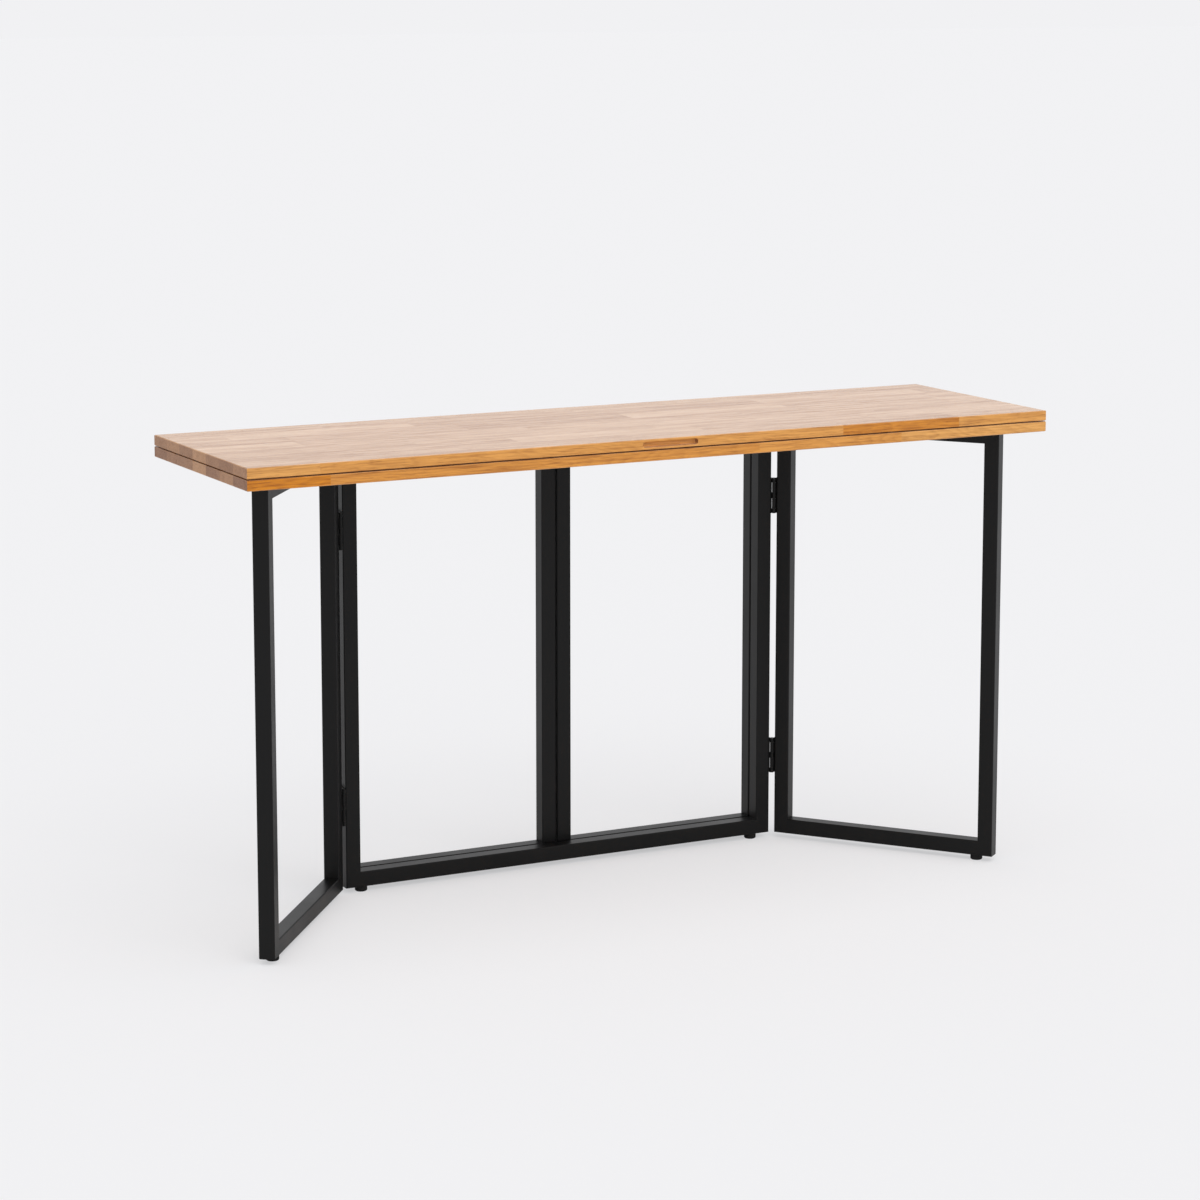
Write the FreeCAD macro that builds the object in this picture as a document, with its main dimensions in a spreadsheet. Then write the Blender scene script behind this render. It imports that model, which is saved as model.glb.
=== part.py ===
import FreeCAD, Part
import math
import os

import Sketcher

# A folding console table: two stacked wooden leaves on a steel-tube centre frame, two front wings
# that swing out under the lower leaf, and two rear gates that swing out under the turned upper leaf.
# Millimetres. +X runs along the table, +Y to its back, +Z up, origin on the floor under the middle.

SIZES = {
    "table_height": 760.0,
    "top_length": 1380.0,
    "top_depth": 390.0,
    "leaf_thickness": 16.5,
    "leaf_gap": 1.0,
    "leaf_chamfer": 1.0,
    "leaf_arris": 1.0,
    "fold_offset": 1.0,
    "pull_length": 96.0,
    "pull_height": 9.5,
    "pull_depth": 10.0,
    "pull_round": 4.1,
    "tube_size": 25.0,
    "tube_wall": 1.5,
    "tube_corner": 2.0,
    "centre_width": 780.0,
    "frame_setback": 1.0,
    "layer_gap": 3.0,
    "wing_meet_gap": 3.0,
    "wing_top_gap": 0.5,
    "wing_angle": 52.0,
    "hinge_inset": 135.0,
    "end_knuckle": 8.0,
    "moving_knuckle": 17.0,
    "middle_knuckle": 10.0,
    "knuckle_gap": 0.3,
    "knuckle_clearance": 0.4,
    "pin_clearance": 0.05,
    "post_knuckle": 3.2,
    "post_plate": 2.0,
    "post_reach": 13.0,
    "post_wrap": 1.2,
    "post_pin": 2.0,
    "flap_knuckle": 2.5,
    "flap_plate": 1.5,
    "flap_reach": 25.0,
    "flap_pin": 1.25,
    "flap_inset": 230.0,
    "mortise_clearance": 0.2,
    "foot_radius": 10.0,
    "foot_height": 9.0,
    "foot_chamfer": 1.5,
    "foot_inset": 30.0,
    "stem_radius": 3.0,
    "stem_length": 18.0,
    "stem_clearance": 0.1,
    "bumper_radius": 5.0,
    "bumper_inset": 45.0,
    "screw_radius": 2.4,
    "screw_clearance": 0.1,
    "screw_head_radius": 4.5,
    "screw_head": 2.5,
    "screw_bite": 11.0,
    "screw_spacing": 220.0,
}

# Sizes that follow from the ones above.
DERIVED = {
    "frame_height": "table_height - 2 * leaf_thickness - leaf_gap - foot_height",
    "wing_height": "frame_height - wing_top_gap",
    "wing_length": "(centre_width - wing_meet_gap) / 2",
    "hinge_length": "2 * end_knuckle + 2 * moving_knuckle + middle_knuckle",
    "post_axis": "post_plate + post_knuckle - post_wrap",
    "post_bore": "post_pin + pin_clearance",
    "flap_axis": "leaf_gap / 2 + flap_plate",
    "flap_bore": "flap_pin + pin_clearance",
    "pull_straight": "(pull_length - pull_height) / 2",
    "screw_bore": "screw_radius + screw_clearance",
    "stem_bore": "stem_radius + stem_clearance",
    "fold_y": "(top_depth + fold_offset + frame_setback - layer_gap - tube_size) / 2",
    "fold_z": "table_height - leaf_thickness - leaf_gap / 2",
}

doc = FreeCAD.newDocument("console_table")
sheet = doc.addObject("Spreadsheet::Sheet", "Sizes")
subparts = []


def fill_sheet():
    row = 1
    for alias, number in SIZES.items():
        sheet.set(f"A{row}", alias)
        sheet.set(f"B{row}", str(number))
        sheet.setAlias(f"B{row}", alias)
        row += 1
    for alias, formula in DERIVED.items():
        sheet.set(f"A{row}", alias)
        sheet.set(f"B{row}", "=" + formula)
        sheet.setAlias(f"B{row}", alias)
        row += 1
    doc.recompute()


def value(alias):
    return float(sheet.get(alias))


def number_of(text):
    """The number that a sum such as 'centre_width/2 - foot_inset' stands for."""
    total = 0.0
    sign = 1.0
    for word in text.split():
        if word in ("+", "-"):
            sign = 1.0 if word == "+" else -1.0
            continue
        name, _, divisor = word.partition("/")
        amount = value(name) if name[0].isalpha() else float(name)
        total += sign * amount / float(divisor or 1)
        sign = 1.0
    return total


def bound(text):
    """The same sum as an expression on the sheet's cells."""
    return " ".join("Sizes." + word if word[0].isalpha() else word for word in text.split())


def vector(x=0.0, y=0.0, z=0.0):
    return FreeCAD.Vector(x, y, z)


def turned_to(u, v):
    """The rotation that takes local X to u and local Y to v."""
    return FreeCAD.Rotation(u, v, u.cross(v), "XYZ")


def keep(piece, label, placement=None):
    piece.Label = label
    if placement is not None:
        piece.Placement = placement
    subparts.append(piece)
    return piece


# Sketches and features

def new_sketch(body, plane_role, offset=None):
    sketch = body.newObject("Sketcher::SketchObject", "Sketch")
    plane = next(item for item in body.Origin.OriginFeatures if item.Role == plane_role)
    sketch.AttachmentSupport = [(plane, "")]
    sketch.MapMode = "FlatFace"
    if offset:
        sketch.setExpression("AttachmentOffset.Base.z", bound(offset))
    return sketch


def pin_point(sketch, geometry, vertex, x, y):
    """Hold one sketch point at its two distances from the sketch's origin."""
    for kind, text in (("DistanceX", x), ("DistanceY", y)):
        constraint = Sketcher.Constraint(kind, -1, 1, geometry, vertex, number_of(text))
        index = sketch.addConstraint(constraint)
        sketch.setExpression(f"Constraints[{index}]", bound(text))


def add_polygon(sketch, points):
    first = sketch.GeometryCount
    corners = [vector(number_of(x), number_of(y)) for x, y in points]
    count = len(corners)
    for index in range(count):
        sketch.addGeometry(Part.LineSegment(corners[index], corners[(index + 1) % count]), False)
    for index in range(count):
        following = first + (index + 1) % count
        sketch.addConstraint(Sketcher.Constraint("Coincident", first + index, 2, following, 1))
    for index, (x, y) in enumerate(points):
        pin_point(sketch, first + index, 1, x, y)


def add_rectangle(sketch, x_low, y_low, x_high, y_high):
    add_polygon(sketch, [(x_low, y_low), (x_high, y_low), (x_high, y_high), (x_low, y_high)])


def add_circle(sketch, x, y, radius):
    centre = vector(number_of(x), number_of(y))
    geometry = sketch.addGeometry(Part.Circle(centre, vector(0, 0, 1), number_of(radius)), False)
    pin_point(sketch, geometry, 3, x, y)
    index = sketch.addConstraint(Sketcher.Constraint("Radius", geometry, number_of(radius)))
    sketch.setExpression(f"Constraints[{index}]", bound(radius))


def extrude(body, kind, sketch, length, symmetric=False, reversed_way=False):
    feature = body.newObject("PartDesign::" + kind, kind)
    feature.Profile = sketch
    feature.SideType = "Symmetric" if symmetric else "One side"
    feature.Reversed = reversed_way
    feature.setExpression("Length", bound(length))
    return feature


def dress(body, kind, base, size_name, size, chosen):
    """A fillet or chamfer on the edges of base that the chosen test accepts."""
    doc.recompute()
    names = [f"Edge{i + 1}" for i, edge in enumerate(base.Shape.Edges) if chosen(edge)]
    feature = body.newObject("PartDesign::" + kind, kind)
    feature.Base = (base, names)
    feature.setExpression(size_name, bound(size))
    return feature


def runs_along_x(edge):
    ends = [vertex.Point for vertex in edge.Vertexes]
    across = ends[1] - ends[0]
    return abs(across.y) < 1e-6 and abs(across.z) < 1e-6


def lies_at_height(level):
    def test(edge):
        return all(abs(vertex.Z - level) < 1e-6 for vertex in edge.Vertexes)
    return test


def lies_at_depth(level):
    def test(edge):
        return all(abs(vertex.Y - level) < 1e-6 for vertex in edge.Vertexes)
    return test


def turned_piece(name, profile):
    """A piece turned about its own upright axis from half a section."""
    body = doc.addObject("PartDesign::Body", name)
    sketch = new_sketch(body, "XZ_Plane")
    add_polygon(sketch, profile)
    turn = body.newObject("PartDesign::Revolution", "Revolution")
    turn.Profile = sketch
    turn.ReferenceAxis = (sketch, ["V_Axis"])
    turn.Angle = 360.0
    return body


def group(label, pieces):
    compound = doc.addObject("Part::Compound", label)
    compound.Links = pieces
    return keep(compound, label)


# Square tubes, mitred at both ends so that four of them close a frame

def tube(name, length, foot_holes=(), screw_holes=()):
    """A mitred tube along local X whose long outer side lies on local Z = 0."""
    body = doc.addObject("PartDesign::Body", name)
    side = new_sketch(body, "XZ_Plane")
    add_polygon(side, [
        ("0", "0"),
        (length, "0"),
        (length + " - tube_size", "tube_size"),
        ("tube_size", "tube_size"),
    ])
    bar = extrude(body, "Pad", side, "tube_size", symmetric=True)
    dress(body, "Fillet", bar, "Radius", "tube_corner", runs_along_x)
    inside = new_sketch(body, "XZ_Plane")
    add_rectangle(inside, "0", "tube_wall", length, "tube_size - tube_wall")
    extrude(body, "Pocket", inside, "tube_size - tube_wall - tube_wall", symmetric=True)
    if foot_holes:
        holes = new_sketch(body, "XY_Plane")
        for x in foot_holes:
            add_circle(holes, x, "0", "stem_bore")
        extrude(body, "Pocket", holes, "tube_wall + tube_wall", reversed_way=True)
    if screw_holes:
        holes = new_sketch(body, "XY_Plane")
        for x in screw_holes:
            add_circle(holes, x, "0", "screw_bore")
        extrude(body, "Pocket", holes, "tube_size + tube_wall", reversed_way=True)
    return body


def tube_frame(prefix, end_names, width, height, placement, foot_holes, screw_holes=()):
    """Four mitred tubes round a rectangle in the placement's X and Z."""
    wide = number_of(width)
    tall = number_of(height)
    about_y = vector(0, 1, 0)
    seats = {
        "bottom_rail": FreeCAD.Placement(vector(), FreeCAD.Rotation()),
        "top_rail": FreeCAD.Placement(vector(wide, 0, tall), FreeCAD.Rotation(about_y, 180)),
        end_names[0]: FreeCAD.Placement(vector(), turned_to(vector(0, 0, 1), vector(0, -1, 0))),
        end_names[1]: FreeCAD.Placement(vector(wide, 0, 0), FreeCAD.Rotation(about_y, -90)),
    }
    for piece, seat in seats.items():
        label = f"{prefix}_{piece}"
        length = width if piece.endswith("rail") else height
        feet = foot_holes if piece == "bottom_rail" else ()
        screws = screw_holes if piece == "top_rail" else ()
        keep(tube(label, length, feet, screws), label, placement.multiply(seat))


# Butt hinges: local Z is the pin, local X points at the face that the plate lies on,
# local Y runs away from the pin across that face

def hinge_plate(name, kind, moving):
    body = doc.addObject("PartDesign::Body", name)
    axis, plate, reach = f"{kind}_axis", f"{kind}_plate", f"{kind}_reach"
    knuckle, bore = f"{kind}_knuckle", f"{kind}_bore"
    flat = new_sketch(body, "XY_Plane")
    add_rectangle(flat, f"{axis} - {plate}", "0", axis, reach)
    extrude(body, "Pad", flat, "hinge_length", symmetric=True)
    barrel = new_sketch(body, "XY_Plane")
    add_circle(barrel, "0", "0", knuckle)
    extrude(body, "Pad", barrel, "hinge_length", symmetric=True)
    hole = new_sketch(body, "XY_Plane")
    add_circle(hole, "0", "0", bore)
    extrude(body, "Pocket", hole, "hinge_length", symmetric=True)
    slots = new_sketch(body, "YZ_Plane")
    edge = f"{knuckle} + knuckle_clearance"
    back_edge = f"- {knuckle} - knuckle_clearance"
    if moving:
        add_rectangle(slots, back_edge, "- middle_knuckle/2 - knuckle_gap/2",
                      edge, "middle_knuckle/2 + knuckle_gap/2")
        add_rectangle(slots, back_edge, "middle_knuckle/2 + moving_knuckle - knuckle_gap/2",
                      edge, "hinge_length/2 + knuckle_gap")
        add_rectangle(slots, back_edge, "- hinge_length/2 - knuckle_gap",
                      edge, "- middle_knuckle/2 - moving_knuckle + knuckle_gap/2")
    else:
        add_rectangle(slots, back_edge, "middle_knuckle/2 - knuckle_gap/2",
                      edge, "middle_knuckle/2 + moving_knuckle + knuckle_gap/2")
        add_rectangle(slots, back_edge, "- middle_knuckle/2 - moving_knuckle - knuckle_gap/2",
                      edge, "- middle_knuckle/2 + knuckle_gap/2")
    extrude(body, "Pocket", slots, f"{axis} + {axis} + {plate} + {knuckle}", symmetric=True)
    return body


def hinge_pin(name, kind, placement):
    pin = doc.addObject("Part::Cylinder", name)
    pin.setExpression("Radius", bound(f"{kind}_pin"))
    pin.setExpression("Height", bound("hinge_length"))
    pin.Placement = placement
    return pin


# The wooden leaves: local Z = 0 is the face where the two leaves meet, local Y = 0 the back edge

FLAP_PLACES = {
    "left": "- top_length/2 + flap_inset",
    "middle": "0",
    "right": "top_length/2 - flap_inset",
}


def leaf(name):
    body = doc.addObject("PartDesign::Body", name)
    board = new_sketch(body, "XY_Plane")
    add_rectangle(board, "- top_length/2", "- top_depth", "top_length/2", "0")
    slab = extrude(body, "Pad", board, "leaf_thickness")
    soft = dress(body, "Chamfer", slab, "Size", "leaf_chamfer", lies_at_height(0.0))
    dress(body, "Chamfer", soft, "Size", "leaf_arris", lies_at_height(value("leaf_thickness")))
    mortises = new_sketch(body, "XY_Plane")
    reliefs = new_sketch(body, "XY_Plane")
    for place in FLAP_PLACES.values():
        low = f"{place} - hinge_length/2 - mortise_clearance"
        high = f"{place} + hinge_length/2 + mortise_clearance"
        add_rectangle(mortises, low, "fold_offset - flap_reach - mortise_clearance",
                      high, "fold_offset")
        add_rectangle(reliefs, low, "fold_offset - flap_knuckle - knuckle_clearance",
                      high, "fold_offset")
    extrude(body, "Pocket", mortises, "flap_plate", reversed_way=True)
    extrude(body, "Pocket", reliefs, "flap_knuckle - leaf_gap/2 + knuckle_clearance",
            reversed_way=True)
    return body


def cut_finger_pull(body):
    middle = new_sketch(body, "XZ_Plane", "top_depth")
    add_rectangle(middle, "- pull_straight", "leaf_thickness/2 - pull_height/2",
                  "pull_straight", "leaf_thickness/2 + pull_height/2")
    extrude(body, "Pocket", middle, "pull_depth")
    ends = new_sketch(body, "XZ_Plane", "top_depth")
    add_circle(ends, "- pull_straight", "leaf_thickness/2", "pull_height/2")
    add_circle(ends, "pull_straight", "leaf_thickness/2", "pull_height/2")
    pull = extrude(body, "Pocket", ends, "pull_depth")
    floor_y = number_of("pull_depth - top_depth")
    dress(body, "Fillet", pull, "Radius", "pull_round", lies_at_depth(floor_y))


SCREW_PLACES = [
    "- screw_spacing - screw_spacing/2",
    "- screw_spacing/2",
    "screw_spacing/2",
    "screw_spacing + screw_spacing/2",
]


def drill_screw_holes(body):
    holes = new_sketch(body, "XY_Plane", "leaf_thickness")
    for x in SCREW_PLACES:
        add_circle(holes, x, "fold_offset - frame_setback - tube_size/2", "screw_bore")
    extrude(body, "Pocket", holes, "screw_bite")


def build_top():
    edge_y = number_of("fold_y - fold_offset")
    upper_seat = vector(0, edge_y, number_of("fold_z + leaf_gap/2"))
    lower_seat = vector(0, edge_y, number_of("fold_z - leaf_gap/2"))
    lower = leaf("lower_leaf")
    drill_screw_holes(lower)
    over = FreeCAD.Rotation(vector(0, 1, 0), 180)
    keep(lower, "lower_leaf", FreeCAD.Placement(lower_seat, over))
    upper = leaf("upper_leaf")
    cut_finger_pull(upper)
    keep(upper, "upper_leaf", FreeCAD.Placement(upper_seat, FreeCAD.Rotation()))

    down, up, forward = vector(0, 0, -1), vector(0, 0, 1), vector(0, -1, 0)
    for place, x in FLAP_PLACES.items():
        pin_middle = vector(number_of(x), value("fold_y"), value("fold_z"))
        label = f"flap_hinge_{place}"
        keep(hinge_plate(f"{label}_lower_plate", "flap", moving=False), f"{label}_lower_plate",
             FreeCAD.Placement(pin_middle, turned_to(down, forward)))
        keep(hinge_plate(f"{label}_upper_plate", "flap", moving=True), f"{label}_upper_plate",
             FreeCAD.Placement(pin_middle, turned_to(up, forward)))
        along = FreeCAD.Rotation(vector(0, 1, 0), 90)
        start = pin_middle - vector(number_of("hinge_length/2"))
        keep(hinge_pin(f"{label}_pin", "flap", FreeCAD.Placement(start, along)), f"{label}_pin")

    pads = []
    for x in ("- top_length/2 + bumper_inset", "top_length/2 - bumper_inset"):
        for y in ("fold_y - fold_offset - top_depth + bumper_inset",
                  "fold_y - fold_offset - bumper_inset"):
            pad = doc.addObject("Part::Cylinder", "bumper")
            pad.setExpression("Radius", bound("bumper_radius"))
            pad.setExpression("Height", bound("leaf_gap"))
            pad.Placement.Base = vector(number_of(x), number_of(y), lower_seat.z)
            pads.append(pad)
    group("leaf_bumpers", pads)


def levelling_foot(label, x, y):
    body = turned_piece(label, [
        ("0", "0"),
        ("foot_radius - foot_chamfer", "0"),
        ("foot_radius", "foot_chamfer"),
        ("foot_radius", "foot_height"),
        ("stem_radius", "foot_height"),
        ("stem_radius", "foot_height + stem_length"),
        ("0", "foot_height + stem_length"),
    ])
    keep(body, label, FreeCAD.Placement(vector(x, y, 0), FreeCAD.Rotation()))


def build_centre_frame():
    middle_y = number_of("fold_y - frame_setback - tube_size/2")
    seat = vector(number_of("- centre_width/2"), middle_y, value("foot_height"))
    tube_frame(
        "centre_frame", ("left_post", "right_post"), "centre_width", "frame_height",
        FreeCAD.Placement(seat, FreeCAD.Rotation()),
        ("foot_inset", "centre_width - foot_inset"),
        [f"centre_width/2 + {x}" if x[0] != "-" else f"centre_width/2 {x}" for x in SCREW_PLACES],
    )
    inset = number_of("centre_width/2 - foot_inset")
    levelling_foot("centre_left_foot", -inset, middle_y)
    levelling_foot("centre_right_foot", inset, middle_y)

    screws = []
    rail_under = number_of("foot_height + frame_height - tube_size")
    for x in SCREW_PLACES:
        screw = turned_piece("top_screw", [
            ("0", "0"),
            ("screw_head_radius", "0"),
            ("screw_head_radius", "screw_head"),
            ("screw_radius", "screw_head"),
            ("screw_radius", "screw_head + tube_size + screw_bite"),
            ("0", "screw_head + tube_size + screw_bite"),
        ])
        screw.Placement.Base = vector(number_of(x), middle_y, rail_under - value("screw_head"))
        screws.append(screw)
    group("top_fixing_screws", screws)


def build_panel(prefix, free_post, right, front, heading):
    """A wing or gate: a tube frame on two butt hinges at one corner of the centre frame.

    heading is the way from the hinge to the free post, in degrees from +X.
    """
    outward = 1.0 if right else -1.0
    into_frame = 1.0 if front else -1.0
    half_gap = number_of("layer_gap/2")
    face_y = number_of("fold_y - frame_setback - tube_size" if front else "fold_y - frame_setback")
    axis = vector(outward * number_of("centre_width/2 + post_axis"), face_y - into_frame * half_gap, 0)
    turn = FreeCAD.Rotation(vector(0, 0, 1), heading)
    side = -1.0 if right == front else 1.0
    pin_in_panel = vector(-value("post_axis"), side * (number_of("tube_size/2") + half_gap), 0)
    base = axis - turn.multVec(pin_in_panel)
    base.z = value("foot_height")
    seat = FreeCAD.Placement(base, turn)
    tube_frame(prefix, ("hinge_post", free_post), "wing_length", "wing_height", seat,
               ("wing_length - foot_inset",))
    foot = seat.multVec(vector(number_of("wing_length - foot_inset"), 0, 0))
    levelling_foot(f"{prefix}_foot", foot.x, foot.y)

    fixed_turn = turned_to(vector(-outward, 0, 0), vector(0, into_frame, 0))
    panel_x = turn.multVec(vector(1, 0, 0))
    panel_depth = turn.multVec(vector(0, -side, 0))
    moving_turn = turned_to(panel_x, panel_depth)
    heights = {
        "upper": number_of("foot_height + frame_height - hinge_inset"),
        "lower": number_of("foot_height + hinge_inset"),
    }
    pins = []
    for place, height in heights.items():
        middle = vector(axis.x, axis.y, height)
        label = f"{prefix}_{place}_hinge"
        keep(hinge_plate(f"{label}_fixed_plate", "post", moving=False), f"{label}_fixed_plate",
             FreeCAD.Placement(middle, fixed_turn))
        keep(hinge_plate(f"{label}_moving_plate", "post", moving=True), f"{label}_moving_plate",
             FreeCAD.Placement(middle, moving_turn))
        start = middle - vector(0, 0, number_of("hinge_length/2"))
        pins.append(hinge_pin(f"{label}_pin", "post", FreeCAD.Placement(start, FreeCAD.Rotation())))
    group(f"{prefix}_hinge_pins", pins)


def write_parts():
    doc.recompute()
    for item in doc.Objects:
        if "Invalid" in item.State or "Error" in item.State:
            raise RuntimeError(f"{item.Label} failed: {item.State}")
    for piece in subparts:
        if piece.Shape.isNull() or not piece.Shape.isValid():
            raise RuntimeError(f"{piece.Label} has no valid shape")
    os.makedirs("parts", exist_ok=True)
    for piece in subparts:
        piece.Shape.exportStep(f"parts/{piece.Label}.step")
        print(f"{piece.Label}: {len(piece.Shape.Solids)} solids, {piece.Shape.Volume:.1f} mm3")


fill_sheet()
build_top()
build_centre_frame()
build_panel("left_wing", "outer_post", right=False, front=True, heading=value("wing_angle") - 180.0)
build_panel("right_wing", "outer_post", right=True, front=True, heading=-value("wing_angle"))
build_panel("left_gate", "free_post", right=False, front=False, heading=0.0)
build_panel("right_gate", "free_post", right=True, front=False, heading=180.0)
write_parts()
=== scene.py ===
import math

import bpy
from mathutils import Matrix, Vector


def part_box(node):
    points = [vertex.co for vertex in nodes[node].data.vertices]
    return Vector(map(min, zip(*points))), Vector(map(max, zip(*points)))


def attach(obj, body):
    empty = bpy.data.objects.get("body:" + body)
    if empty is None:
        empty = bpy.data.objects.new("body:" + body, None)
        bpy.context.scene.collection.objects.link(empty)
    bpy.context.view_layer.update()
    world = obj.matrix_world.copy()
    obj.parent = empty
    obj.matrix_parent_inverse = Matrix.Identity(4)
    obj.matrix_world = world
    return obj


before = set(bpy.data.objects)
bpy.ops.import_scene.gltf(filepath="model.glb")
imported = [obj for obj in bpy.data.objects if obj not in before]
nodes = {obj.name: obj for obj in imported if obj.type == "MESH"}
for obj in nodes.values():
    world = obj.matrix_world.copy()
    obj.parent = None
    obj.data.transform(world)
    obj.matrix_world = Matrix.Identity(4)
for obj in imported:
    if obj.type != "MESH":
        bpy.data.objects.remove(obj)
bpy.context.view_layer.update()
scene = bpy.context.scene
scene.view_settings.view_transform = "Standard"

# Camera, fitted to the photograph's corner points in its 1200 by 1200 frame
FRAME_PIXELS = 1200.0
SENSOR_MM = 36.0
FOCAL_PIXELS = 3353.6
CAMERA_PLACE = (-2.4097, -4.6655, 1.4757)
CAMERA_YAW = math.radians(27.180)
CAMERA_PITCH = math.radians(8.765)
CAMERA_SHIFT_Y = -0.10
CAMERA_REACH = 200.0

# Light levels that render a white floor at about one, and the pale studio colour
WHITE = (1.0, 1.0, 1.0, 1.0)
STUDIO = (0.88, 0.88, 0.896, 1.0)
SKY_STRENGTH = 0.62
OVERHEAD_STRENGTH = 0.98
OVERHEAD_TILT = math.radians(20)
FRONT_STRENGTH = 0.90
FRONT_TILT = math.radians(70)
SOFT_SPREAD = math.radians(64)
FLOOR_HALF = 60.0
FLOOR_GLOW = 0.55


class Graph:
    """A small helper that adds nodes to a material and links them by value, node or socket."""

    def __init__(self, name):
        self.material = bpy.data.materials.new(name)
        self.material.use_nodes = True
        self.tree = self.material.node_tree
        self.shader = self.tree.nodes["Principled BSDF"]

    def feed(self, socket, source):
        if isinstance(source, bpy.types.NodeSocket):
            self.tree.links.new(source, socket)
        elif isinstance(source, bpy.types.Node):
            self.tree.links.new(source.outputs[0], socket)
        else:
            socket.default_value = source

    def add(self, kind, inputs=None, **settings):
        made = self.tree.nodes.new(kind)
        for name, setting in settings.items():
            setattr(made, name, setting)
        for name, source in (inputs or {}).items():
            self.feed(made.inputs[name], source)
        return made

    def place(self):
        return self.add("ShaderNodeTexCoord").outputs["Object"]

    def parts_of(self, vector):
        return self.add("ShaderNodeSeparateXYZ", {0: vector}).outputs

    def random_colour(self, *key):
        key_vector = self.add("ShaderNodeCombineXYZ", dict(enumerate(key)))
        noise = self.add("ShaderNodeTexWhiteNoise", {0: key_vector}, noise_dimensions="3D")
        return noise.outputs["Color"]

    def channels(self, colour):
        return self.add("ShaderNodeSeparateColor", {0: colour}).outputs

    def math(self, operation, *sources):
        return self.add("ShaderNodeMath", dict(enumerate(sources)), operation=operation)

    def sum_of(self, first, *others):
        total = first
        for other in others:
            total = self.math("ADD", total, other)
        return total

    def vector_math(self, operation, *sources):
        return self.add("ShaderNodeVectorMath", dict(enumerate(sources)), operation=operation)

    def mix(self, share, first, second, blend="MIX"):
        made = self.add("ShaderNodeMix", data_type="RGBA", blend_type=blend)
        self.feed(made.inputs[0], share)
        self.feed(made.inputs[6], first)
        self.feed(made.inputs[7], second)
        return made.outputs[2]

    def tinted(self, share, colour, tint):
        return self.mix(share, colour, self.mix(1.0, colour, tint, "MULTIPLY"))

    def ramp(self, source, stops, interpolation="LINEAR"):
        made = self.add("ShaderNodeValToRGB", {0: source})
        band = made.color_ramp
        band.interpolation = interpolation
        for place, colour in stops[2:]:
            band.elements.new(place).color = colour
        for element, (place, colour) in zip(list(band.elements)[:2], stops[:2]):
            element.position = place
            element.color = colour
        return made.outputs[0]

    def span(self, source, old_range, new_range=(0.0, 1.0)):
        return self.add("ShaderNodeMapRange", {
            "Value": source, "From Min": old_range[0], "From Max": old_range[1],
            "To Min": new_range[0], "To Max": new_range[1],
        })

    def spread(self, share, new_range):
        return self.span(share, (0.0, 1.0), new_range)

    def noise(self, place, scale, detail=2.0, roughness=0.5):
        return self.add("ShaderNodeTexNoise", {
            "Vector": place, "Scale": scale, "Detail": detail, "Roughness": roughness,
        })

    def long_noise(self, place, squeeze, scale, detail, roughness):
        """Noise that is long in X and narrow across it."""
        squeezed = self.vector_math("MULTIPLY", place, (1.0, squeeze, squeeze))
        return self.noise(squeezed, scale, detail, roughness)

    def bump(self, height, strength, distance):
        return self.add("ShaderNodeBump", {"Height": height, "Strength": strength, "Distance": distance})

    def surface(self, **inputs):
        for name, source in inputs.items():
            self.feed(self.shader.inputs[name.replace("_", " ")], source)
        return self.material


def grey(level):
    return (level, level, level, 1.0)


# Oak staves glued side by side: seven rows across the depth, butt joints along each row
leaf_low, leaf_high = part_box("upper_leaf")
ROWS = 7
LAST_ROW = ROWS - 0.01
STAVE_WIDTH = (leaf_high.y - leaf_low.y) / ROWS
STAVE_LENGTH_LEAST = 0.27
STAVE_LENGTH_SPREAD = 0.20
MEETING_HEIGHT = 0.743
ROW_SEED = 3.7
ROW_OFFSET = 7.0
ROW_LINE = (0.489, 0.498)
JOINT_LINE = (0.4975, 0.4992)

# Front staves of each leaf: where each starts along the leaf, and its tone from dark to pale
UPPER_STAVES = [(0.0, 0.55), (0.080, 0.42), (0.286, 1.0), (0.462, 0.45), (0.720, 0.12), (0.878, 0.48)]
LOWER_STAVES = [(0.0, 0.0), (0.093, 0.26), (0.380, 0.55), (0.610, 0.35), (0.800, 0.60)]
FRONT_KEY = 90.0

# Growth rings: their width, how far the heart line strays, and where late wood lies in a ring
RING_WIDTH = 0.0034
BLOCK_OFFSET = (7.0, 3.0, 5.0)
HEART_SKEW = (-0.07, 0.07)
HEART_WAVER = (-0.030, 0.030)
HEART_ASIDE = (-0.08, 0.08)
HEART_DEPTH = (0.02, 0.11)
LATE_START = (0.25, 0.80)
LATE_END = (1.0, 0.86)

# Long noises: squeeze across the grain, scale, detail and roughness
WAVER_NOISE = (5.0, 3.2, 3.0, 0.5)
CLOUD_NOISE = (9.0, 2.2, 2.0, 0.5)
BAND_NOISE = (14.0, 5.5, 4.0, 0.6)
STREAK_NOISE = (30.0, 12.0, 4.0, 0.65)
PORE_NOISE = (20.0, 36.0, 2.0, 0.7)
BRUSH_NOISE = (30.0, 90.0, 2.0, 0.5)

# Ranges of those noises over which a mark grows from none to full, and the share of each mark
CLOUD_MARK = (0.40, 0.65)
BAND_MARK = (0.45, 0.60)
STREAK_MARK = (0.46, 0.60)
PORE_MARK = (0.57, 0.66)
CLOUD_SHARE = 0.08
BAND_SHARE_EDGE_TO_FACE = (0.20, 0.44)
STREAK_SHARE = 0.48
LATE_WOOD_SHARE = 0.24
GRAIN_SHARE_DARK_TO_PALE = (1.0, 0.65)
PORE_SHARE = 0.55
KNOT_SHARE = 0.75
GLUE_SHARE = 0.22

# Knots: cells longer along the grain, the share of cells without one, and the knot's soft rim
KNOT_STRETCH = (0.55, 1.0, 1.0)
KNOT_SCALE = 9.0
KNOT_CHANCE = 0.80
KNOT_RIM = (0.075, 0.018)

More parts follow.
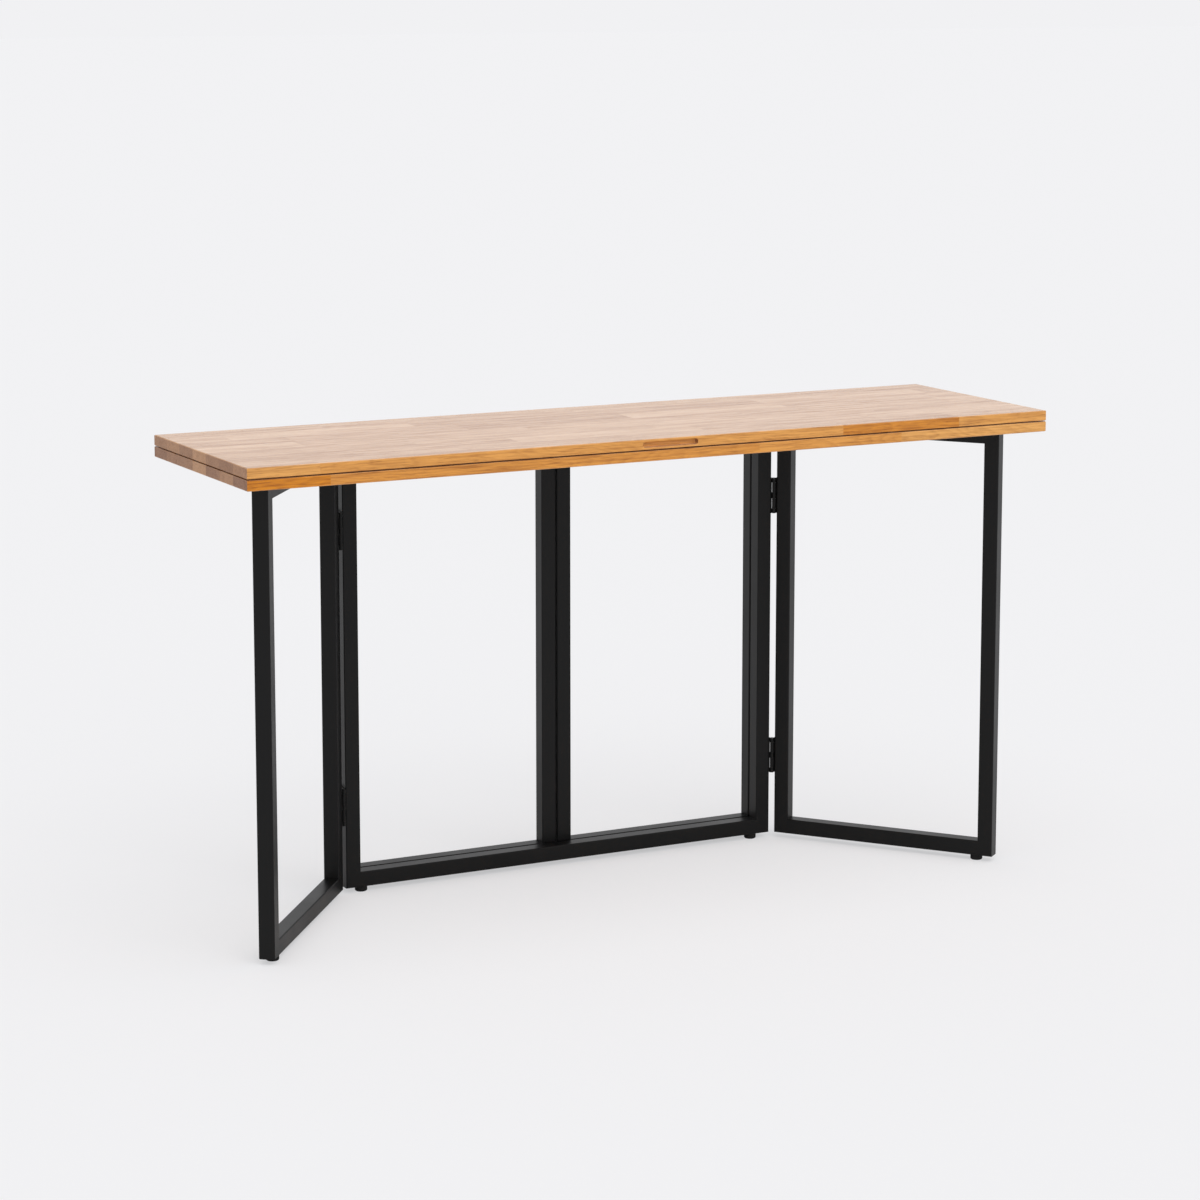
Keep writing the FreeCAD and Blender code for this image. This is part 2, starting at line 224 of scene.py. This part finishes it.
# Colours of the darkest and palest staves, and what the grain, pores, knots and glue make of them
FACE_TONES = ((0.76, 0.440, 0.225, 1.0), (0.88, 0.560, 0.335, 1.0))
EDGE_TONES = ((0.69, 0.250, 0.010, 1.0), (0.92, 0.550, 0.200, 1.0))
END_TONES = ((0.31, 0.140, 0.060, 1.0), (0.51, 0.265, 0.12, 1.0))
GRAIN_TINT = (0.50, 0.39, 0.30, 1.0)
PORE_TINT = (0.52, 0.42, 0.34, 1.0)
KNOT_TINT = (0.34, 0.24, 0.18, 1.0)
GLUE_TINT = (0.60, 0.50, 0.42, 1.0)

# Painted shade: the edges along the narrow groove between the leaves are darkened, as the gap is shaded
GROOVE_REACH = 0.0011
GROOVE_SHADE_TINT = (0.22, 0.15, 0.10, 1.0)

# Turn of the surface at which a face counts as end grain or as broad face
END_TURN = (0.55, 0.85)
FACE_TURN = (0.55, 0.9)
LEVEL_TURN = 0.9

# Oil finish: gloss from smooth to grained wood, dull end grain and groove, and a fine relief
GRAIN_RANGE = (0.2, 0.9)
WOOD_ROUGHNESS = (0.15, 0.24)
WOOD_SPECULAR = 0.36
END_DULLNESS = 0.25
GROOVE_DULLNESS = 0.6
STREAK_RELIEF = 0.4
WOOD_BUMP = (0.15, 0.0005)


def front_row_tone(g, x, staves):
    """Tone along the front row, one step for each stave of the list."""
    along = g.span(x, (leaf_low.x, leaf_high.x))
    return g.ramp(along, [(start, grey(tone)) for start, tone in staves], "CONSTANT")


def lines_between(g, place, line):
    """Thin lines at each whole number of the place."""
    return g.span(g.math("PINGPONG", g.sum_of(place, 0.5), 0.5), line)


def stave_layout(g, x, y, upper):
    """Random colour and tone of the stave at each point, and the glue lines round it.

    The front row of each leaf has the staves of its list. The other rows are cut by chance.
    """
    row_place = g.math("DIVIDE", g.math("SUBTRACT", y, leaf_low.y), STAVE_WIDTH)
    row = g.math("FLOOR", g.math("MINIMUM", g.math("MAXIMUM", row_place, 0.0), LAST_ROW))
    in_front = g.math("LESS_THAN", row, 0.5)
    front_tone = g.mix(upper, front_row_tone(g, x, LOWER_STAVES), front_row_tone(g, x, UPPER_STAVES))

    row_chance = g.channels(g.random_colour(row, upper, ROW_SEED))
    length = g.sum_of(g.math("MULTIPLY", row_chance[0], STAVE_LENGTH_SPREAD), STAVE_LENGTH_LEAST)
    along = g.sum_of(g.math("DIVIDE", x, length), g.math("MULTIPLY", row_chance[1], ROW_OFFSET))
    number = g.mix(in_front, g.math("FLOOR", along), g.math("MULTIPLY", front_tone, FRONT_KEY))
    block = g.random_colour(row, number, upper)
    tone = g.mix(in_front, g.channels(block)[0], front_tone)

    row_line = lines_between(g, row_place, ROW_LINE)
    joint_line = g.math("SUBTRACT", lines_between(g, along, JOINT_LINE), in_front)
    return block, tone, g.math("MAXIMUM", row_line, joint_line)


def growth_rings(g, place, block):
    """Each block's own piece of the grain, and the late wood of the rings in it.

    The rings run about the block's heart line, which lies a little askew below the board.
    """
    chance = g.channels(block)
    x, y, z = g.parts_of(place)
    own = g.vector_math("ADD", place, g.vector_math("MULTIPLY", block, BLOCK_OFFSET))
    waver = g.long_noise(own, *WAVER_NOISE)
    skew = g.math("MULTIPLY", x, g.spread(chance[0], HEART_SKEW))
    across = g.sum_of(y, skew, g.spread(waver, HEART_WAVER), g.spread(chance[1], HEART_ASIDE))
    depth = g.sum_of(g.math("SUBTRACT", z, MEETING_HEIGHT), g.spread(chance[2], HEART_DEPTH))
    radius = g.math("SQRT", g.sum_of(g.math("MULTIPLY", across, across), g.math("MULTIPLY", depth, depth)))
    phase = g.math("FRACT", g.math("DIVIDE", radius, RING_WIDTH))
    late_wood = g.math("MULTIPLY", g.span(phase, LATE_START), g.span(phase, LATE_END))
    return own, late_wood


def knots(g, place):
    """A few small dark knots, in cells that chance picks."""
    stretched = g.vector_math("MULTIPLY", place, KNOT_STRETCH)
    cells = g.add("ShaderNodeTexVoronoi", {"Vector": stretched, "Scale": KNOT_SCALE}, feature="F1")
    picked = g.math("GREATER_THAN", g.channels(cells.outputs["Color"])[0], KNOT_CHANCE)
    return g.math("MULTIPLY", g.span(cells.outputs["Distance"], KNOT_RIM), picked)


def wood_material():
    g = Graph("oak_staves")
    coordinates = g.add("ShaderNodeTexCoord")
    place = coordinates.outputs["Object"]
    x, y, z = g.parts_of(place)
    upper = g.math("GREATER_THAN", z, MEETING_HEIGHT)
    block, tone, glue_line = stave_layout(g, x, y, upper)
    own, late_wood = growth_rings(g, place, block)

    normal = g.parts_of(coordinates.outputs["Normal"])
    levelness = g.math("ABSOLUTE", normal[2])
    end_share = g.span(g.math("ABSOLUTE", normal[0]), END_TURN)
    face_share = g.span(levelness, FACE_TURN)

    # Broad bands, streaks and pores, long in X and narrow across it
    clouds = g.span(g.long_noise(own, *CLOUD_NOISE), CLOUD_MARK)
    bands = g.span(g.long_noise(own, *BAND_NOISE), BAND_MARK)
    streak_noise = g.long_noise(own, *STREAK_NOISE)
    streaks = g.span(streak_noise, STREAK_MARK)
    pores = g.span(g.long_noise(own, *PORE_NOISE), PORE_MARK)
    grain = g.sum_of(g.math("MULTIPLY", clouds, CLOUD_SHARE),
                     g.math("MULTIPLY", bands, g.spread(face_share, BAND_SHARE_EDGE_TO_FACE)),
                     g.math("MULTIPLY", streaks, STREAK_SHARE),
                     g.math("MULTIPLY", late_wood, LATE_WOOD_SHARE))

    # The groove is the part of the edges that lies next to the other leaf
    from_meeting = g.math("ABSOLUTE", g.math("SUBTRACT", z, MEETING_HEIGHT))
    near_groove = g.math("LESS_THAN", from_meeting, GROOVE_REACH)
    groove = g.math("MULTIPLY", near_groove, g.math("LESS_THAN", levelness, LEVEL_TURN))

    # The broad faces, the long edges and the end grain each take the finish in their own way
    colour = g.mix(face_share, g.mix(tone, *EDGE_TONES), g.mix(tone, *FACE_TONES))
    colour = g.mix(end_share, colour, g.mix(tone, *END_TONES))
    grain_share = g.math("MULTIPLY", grain, g.spread(tone, GRAIN_SHARE_DARK_TO_PALE))
    colour = g.tinted(grain_share, colour, GRAIN_TINT)
    colour = g.tinted(g.math("MULTIPLY", pores, PORE_SHARE), colour, PORE_TINT)
    colour = g.tinted(g.math("MULTIPLY", knots(g, place), KNOT_SHARE), colour, KNOT_TINT)
    colour = g.tinted(g.math("MULTIPLY", glue_line, GLUE_SHARE), colour, GLUE_TINT)
    # painted shade: the edges next to the groove between the leaves are darkened where the narrow gap is
    # shaded
    colour = g.tinted(groove, colour, GROOVE_SHADE_TINT)

    relief = g.math("SUBTRACT", g.math("MULTIPLY", streak_noise, STREAK_RELIEF), pores)
    dull = g.math("MAXIMUM", g.math("MULTIPLY", end_share, END_DULLNESS),
                  g.math("MULTIPLY", groove, GROOVE_DULLNESS))
    rough = g.sum_of(g.span(grain, GRAIN_RANGE, WOOD_ROUGHNESS), dull)
    return g.surface(Base_Color=colour, Roughness=rough, Specular_IOR_Level=WOOD_SPECULAR,
                     Normal=g.bump(relief, *WOOD_BUMP))


# Black coating: soft clouds in its tone and gloss, and a fine grained skin
COAT_CLOUD_SCALE = 9.0
COAT_CLOUD_DETAIL = 3.0
COAT_DARK, COAT_PALE = (0.3, 0.85), (0.75, 1.2)
COAT_ROUGH_RANGE = (0.25, 0.75)
COAT_ROUGH_SPREAD = 0.05
COAT_SPECULAR = 0.19
COAT_SPECKLE = 1400.0
FOOT_SPECKLE = 2600.0
SKIN_DETAIL = 2.0
SKIN_ROUGHNESS = 0.6
COAT_BUMP = (0.12, 0.0003)

# Zinc plating: cloudy tone and fine brushed lines
ZINC_CLOUD_SCALE = 60.0
ZINC_CLOUD_DETAIL = 3.0
ZINC_TONES = [(0.3, (0.33, 0.33, 0.325, 1.0)), (0.7, (0.44, 0.44, 0.43, 1.0))]
ZINC_LINE_RANGE = (0.3, 0.7)
ZINC_ROUGHNESS = (0.34, 0.48)
ZINC_BUMP = (0.1, 0.0002)

# Clear soft bumpers
BUMPER_CLOUD_SCALE = 300.0
BUMPER_TONES = [(0.3, (0.60, 0.60, 0.58, 1.0)), (0.7, (0.70, 0.70, 0.68, 1.0))]
BUMPER_ROUGHNESS = 0.35
BUMPER_CLEARNESS = 0.3


def powder_coat(name, level, roughness, speckle=COAT_SPECKLE):
    """Matt coating with a fine grained skin and slight wear in its tone."""
    g = Graph(name)
    place = g.place()
    cloud = g.noise(place, COAT_CLOUD_SCALE, COAT_CLOUD_DETAIL)
    skin = g.noise(place, speckle, SKIN_DETAIL, SKIN_ROUGHNESS)
    colour = g.ramp(cloud, [(at, grey(level * share)) for at, share in (COAT_DARK, COAT_PALE)])
    rough = g.span(cloud, COAT_ROUGH_RANGE, (roughness - COAT_ROUGH_SPREAD, roughness + COAT_ROUGH_SPREAD))
    return g.surface(Base_Color=colour, Roughness=rough, Specular_IOR_Level=COAT_SPECULAR,
                     Normal=g.bump(skin, *COAT_BUMP))


def zinc_material():
    g = Graph("zinc_plate")
    place = g.place()
    lines = g.long_noise(place, *BRUSH_NOISE)
    colour = g.ramp(g.noise(place, ZINC_CLOUD_SCALE, ZINC_CLOUD_DETAIL), ZINC_TONES)
    rough = g.span(lines, ZINC_LINE_RANGE, ZINC_ROUGHNESS)
    return g.surface(Base_Color=colour, Metallic=1.0, Roughness=rough, Normal=g.bump(lines, *ZINC_BUMP))


def bumper_material():
    g = Graph("clear_bumper")
    colour = g.ramp(g.noise(g.place(), BUMPER_CLOUD_SCALE), BUMPER_TONES)
    return g.surface(Base_Color=colour, Roughness=BUMPER_ROUGHNESS, Transmission_Weight=BUMPER_CLEARNESS)


WOOD = wood_material()
FRAME_BLACK = powder_coat("black_powder_coat", 0.0035, 0.38)
FOOT_BLACK = powder_coat("black_foot_plastic", 0.006, 0.55, FOOT_SPECKLE)
ZINC = zinc_material()
# painted shade: a dark grey matt finish for the inside of each shallow screw cross, in place of the shade
# of a deep recess
RECESS_SHADE = powder_coat("screw_recess_shade", 0.03, 0.6)
BUMPER = bumper_material()


def finish_of(name):
    if name in ("lower_leaf", "upper_leaf"):
        return WOOD
    if name.endswith("_foot"):
        return FOOT_BLACK
    if name == "leaf_bumpers":
        return BUMPER
    if name.startswith("flap_hinge") or name == "top_fixing_screws":
        return ZINC
    return FRAME_BLACK


for node_name, node in nodes.items():
    node.data.materials.clear()
    node.data.materials.append(finish_of(node_name))


# Cross-head screws in the flap-hinge plates: a low dome with a sunk cross, three to a plate
SCREW_RIM = 0.0036
SCREW_SHOULDER = 0.0031
SCREW_RISE = 0.0003
SHOULDER_SHARE = 0.7
CROSS_FLOOR_SHARE = 0.1
CROSS_REACH = 0.0022
CROSS_HALF_WIDTH = 0.0006
RIM_STEPS = 3
SCREW_SPOTS = [(-0.020, 0.011), (0.0, 0.018), (0.020, 0.011)]

pin_low, pin_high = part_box("flap_hinge_middle_pin")
FOLD_Y = (pin_low.y + pin_high.y) / 2


def cross_outline():
    """The twelve corners of a cross, counterclockwise."""
    quarter = [(CROSS_REACH, -CROSS_HALF_WIDTH), (CROSS_REACH, CROSS_HALF_WIDTH),
               (CROSS_HALF_WIDTH, CROSS_HALF_WIDTH)]
    corners = []
    for turn in range(4):
        corners += quarter
        quarter = [(-y, x) for x, y in quarter]
    return corners


def ring(angles, radius, height):
    return [(math.cos(a) * radius, math.sin(a) * radius, height) for a in angles]


def screw_shell():
    """Points and faces of one screw head that looks along +Z, with its rim at Z = 0.

    The third list names the faces inside the cross.
    """
    cross = cross_outline()
    corner_angles = [math.atan2(y, x) for x, y in cross]
    angles = []
    for index, start in enumerate(corner_angles):
        sweep = (corner_angles[(index + 1) % len(cross)] - start) % math.tau
        angles += [start + sweep * step / RIM_STEPS for step in range(RIM_STEPS)]
    count = len(angles)
    points = ring(angles, SCREW_RIM, 0.0)
    points += ring(angles, SCREW_SHOULDER, SCREW_RISE * SHOULDER_SHARE)
    points += [(x, y, SCREW_RISE) for x, y in cross]
    points += [(x, y, SCREW_RISE * CROSS_FLOOR_SHARE) for x, y in cross]
    lip = 2 * count
    sunk = lip + len(cross)
    faces = [(i, (i + 1) % count, count + (i + 1) % count, count + i) for i in range(count)]
    sunk_faces = []
    for index in range(len(cross)):
        following = (index + 1) % len(cross)
        first = index * RIM_STEPS
        outer = [count + (first + step) % count for step in range(RIM_STEPS + 1)]
        faces.append((*outer, lip + following, lip + index))
        sunk_faces.append(len(faces))
        faces.append((lip + index, lip + following, sunk + following, sunk + index))
    sunk_faces.append(len(faces))
    faces.append(tuple(range(sunk, sunk + len(cross))))
    return points, faces, sunk_faces


def add_hinge_screws(plate, body, height, facing):
    """Three screw heads on a plate whose open face lies at that height.

    The face looks up where facing is 1, and down where it is -1.
    """
    low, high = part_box(plate)
    shell_points, shell_faces, sunk_faces = screw_shell()
    points, faces = [], []
    for along, inward in SCREW_SPOTS:
        middle_x = (low.x + high.x) / 2 + along
        middle_y = FOLD_Y - inward
        first = len(points)
        points += [(middle_x + x, middle_y + facing * y, height + facing * z) for x, y, z in shell_points]
        faces += [tuple(first + i for i in face) for face in shell_faces]
    mesh = bpy.data.meshes.new(plate + "_screws")
    mesh.from_pydata(points, [], faces)
    mesh.materials.append(ZINC)
    # painted shade: the faces inside each shallow cross take the dark recess finish
    mesh.materials.append(RECESS_SHADE)
    for index, polygon in enumerate(mesh.polygons):
        polygon.material_index = 1 if index % len(shell_faces) in sunk_faces else 0
    screws = bpy.data.objects.new(plate + "_screws", mesh)
    scene.collection.objects.link(screws)
    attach(screws, body)


lower_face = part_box("lower_leaf")[1].z
upper_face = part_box("upper_leaf")[0].z
for side in ("left", "middle", "right"):
    add_hinge_screws(f"flap_hinge_{side}_lower_plate", "base", lower_face, 1)
    add_hinge_screws(f"flap_hinge_{side}_upper_plate", "flip_leaf", upper_face, -1)


# Stage: one broad pale floor, an even sky and two wide soft suns

def build_floor():
    mesh = bpy.data.meshes.new("floor")
    corners = [(-FLOOR_HALF, -FLOOR_HALF, 0.0), (FLOOR_HALF, -FLOOR_HALF, 0.0),
               (FLOOR_HALF, FLOOR_HALF, 0.0), (-FLOOR_HALF, FLOOR_HALF, 0.0)]
    mesh.from_pydata(corners, [], [(0, 1, 2, 3)])
    floor = bpy.data.objects.new("floor", mesh)
    scene.collection.objects.link(floor)
    g = Graph("studio_floor")
    mesh.materials.append(g.surface(Base_Color=STUDIO, Roughness=1.0, Specular_IOR_Level=0.0))
    glow = g.add("ShaderNodeEmission", {"Color": STUDIO, "Strength": 1.0})
    seen = g.add("ShaderNodeLightPath").outputs["Is Camera Ray"]
    blend = g.add("ShaderNodeMixShader", {0: g.math("MULTIPLY", seen, FLOOR_GLOW), 1: g.shader, 2: glow})
    g.feed(g.tree.nodes["Material Output"].inputs["Surface"], blend)


def build_sky():
    """A white sky that lights evenly. The camera and reflections see the studio colour in its place."""
    world = bpy.data.worlds.new("studio")
    scene.world = world
    world.use_nodes = True
    tree = world.node_tree
    sky = tree.nodes["Background"]
    sky.inputs["Color"].default_value = WHITE
    sky.inputs["Strength"].default_value = SKY_STRENGTH
    seen = tree.nodes.new("ShaderNodeBackground")
    seen.inputs["Color"].default_value = STUDIO
    rays = tree.nodes.new("ShaderNodeLightPath")
    shown = tree.nodes.new("ShaderNodeMath")
    shown.operation = "MAXIMUM"
    choose = tree.nodes.new("ShaderNodeMixShader")
    tree.links.new(rays.outputs["Is Camera Ray"], shown.inputs[0])
    tree.links.new(rays.outputs["Is Glossy Ray"], shown.inputs[1])
    for index, source in enumerate((shown, sky, seen)):
        tree.links.new(source.outputs[0], choose.inputs[index])
    tree.links.new(choose.outputs[0], tree.nodes["World Output"].inputs["Surface"])


def build_sun(name, strength, tilt, mirrored):
    """A wide soft light that leans by tilt from straight overhead towards the table's front.

    Glossy faces show it only if it is mirrored, so that a low light doesn't bleach the top from behind.
    """
    lamp = bpy.data.lights.new(name, "SUN")
    lamp.energy = strength
    lamp.angle = SOFT_SPREAD
    sun = bpy.data.objects.new(name, lamp)
    sun.rotation_euler = (tilt, 0.0, 0.0)
    sun.visible_glossy = mirrored
    scene.collection.objects.link(sun)


def build_camera():
    data = bpy.data.cameras.new("camera")
    data.sensor_width = SENSOR_MM
    data.lens = FOCAL_PIXELS / FRAME_PIXELS * SENSOR_MM
    data.shift_y = CAMERA_SHIFT_Y
    data.clip_end = CAMERA_REACH
    camera = bpy.data.objects.new("camera", data)
    camera.location = CAMERA_PLACE
    camera.rotation_euler = (math.pi / 2 - CAMERA_PITCH, 0.0, -CAMERA_YAW)
    scene.collection.objects.link(camera)
    scene.camera = camera


build_floor()
build_sky()
build_sun("overhead_light", OVERHEAD_STRENGTH, OVERHEAD_TILT, True)
build_sun("front_light", FRONT_STRENGTH, FRONT_TILT, False)
build_camera()
